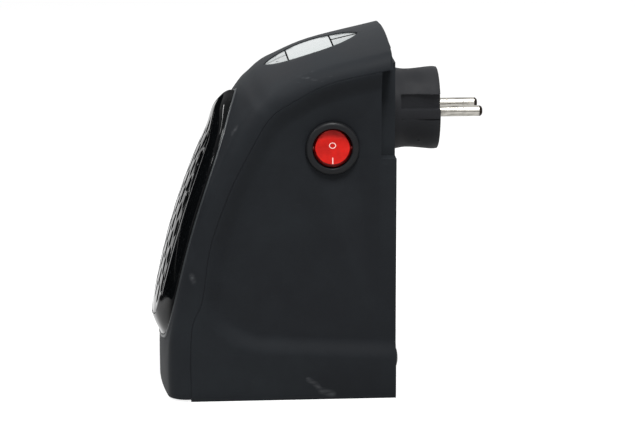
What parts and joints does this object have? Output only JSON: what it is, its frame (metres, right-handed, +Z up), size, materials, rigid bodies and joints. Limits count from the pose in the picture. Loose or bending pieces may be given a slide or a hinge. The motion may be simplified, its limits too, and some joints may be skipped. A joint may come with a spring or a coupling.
{
  "type": "plug-in fan heater",
  "caption": "Compact electric fan heater that hangs on its own mains plug, with a bowed grille, hood keys, a side rocker switch and a plug that turns in the back wall.",
  "frame": {"origin": "on the base plane, midway between the front and the back of the housing and between its sides", "axes": "+Z up, -Y out of the front grille, +Y along the plug's pins, +X out of the side with the switch"},
  "size_m": [0.09, 0.147, 0.1582],
  "materials": {
    "body": "fine matte, moulded",
    "gloss": "high gloss",
    "keys": "satin silver",
    "black": "matte",
    "red": "translucent, glossy",
    "nickel": "nickel plated",
    "brass": "plain",
    "steel": "zinc plated",
    "aluminium": "plain",
    "white": "heat resistant, matte",
    "board": "printed circuit laminate",
    "rubber": "soft",
    "blue": "matte"
  },
  "bodies": {
    "housing": {"front_cover": "body", "rear_housing": "body", "grille_bezel": "gloss", "front_grille": "gloss", "key_tray": "black", "display_window": "keys", "display_module": "white", "display_board": "board", "tact_switch_front_left": "black", "tact_switch_front_right": "black", "tact_switch_rear_left": "black", "tact_switch_rear_right": "black", "switch_body": "black", "switch_tab_low": "brass", "switch_tab_high": "brass", "contact_block": "white", "slip_ring_inner": "brass", "slip_ring_outer": "brass", "fan_duct": "black", "fan_motor": "steel", "heater_frame": "white", "heating_bar_1": "aluminium", "heating_bar_2": "aluminium", "heating_bar_3": "aluminium", "fin_strip_1": "aluminium", "fin_strip_2": "aluminium", "fin_strip_3": "aluminium", "fin_strip_4": "aluminium", "thermal_cutout": "steel", "main_board": "board", "relay": "blue", "capacitor": "black", "case_screw_low_left": "steel", "case_screw_low_right": "steel", "case_screw_high_left": "steel", "case_screw_high_right": "steel", "wall_bumper_left": "rubber", "wall_bumper_right": "rubber"},
    "fan": {"impeller": "black", "fan_shaft": "steel"},
    "rocker": {"rocker": "red"},
    "plug": {"plug_body": "black", "plug_pin_left": "nickel", "plug_pin_right": "nickel", "plug_retainer": "white", "wiper_inner": "brass", "wiper_outer": "brass"},
    "key_front_left": {"key_front_left": "keys"},
    "key_front_right": {"key_front_right": "keys"},
    "key_rear_left": {"key_rear_left": "keys"},
    "key_rear_right": {"key_rear_right": "keys"}
  },
  "joints": [
    {"name": "fan_spin", "type": "hinge", "parent": "housing", "child": "fan", "pos_m": [0, 0.00779, 0.05801], "axis": [0, 1, 0], "continuous": true},
    {"name": "switch_rock", "type": "hinge", "parent": "housing", "child": "rocker", "pos_m": [0.0417, 0.02331, 0.1123], "axis": [0, 1, 0], "range_deg": [0, 20]},
    {"name": "plug_turn", "type": "hinge", "parent": "housing", "child": "plug", "pos_m": [0, 0.05135, 0.1214], "axis": [0, 1, 0], "range_deg": [-90, 90]},
    {"name": "key_front_left_press", "type": "slide", "parent": "housing", "child": "key_front_left", "axis": [0, 0.29, -0.957], "range_m": [0, 0.0005], "stiffness_N_per_m": 100, "springref_m": -0.0005},
    {"name": "key_front_right_press", "type": "slide", "parent": "housing", "child": "key_front_right", "axis": [0, 0.29, -0.957], "range_m": [0, 0.0005], "stiffness_N_per_m": 100, "springref_m": -0.0005},
    {"name": "key_rear_left_press", "type": "slide", "parent": "housing", "child": "key_rear_left", "axis": [0, 0.29, -0.957], "range_m": [0, 0.0005], "stiffness_N_per_m": 100, "springref_m": -0.0005},
    {"name": "key_rear_right_press", "type": "slide", "parent": "housing", "child": "key_rear_right", "axis": [0, 0.29, -0.957], "range_m": [0, 0.0005], "stiffness_N_per_m": 100, "springref_m": -0.0005}
  ]
}
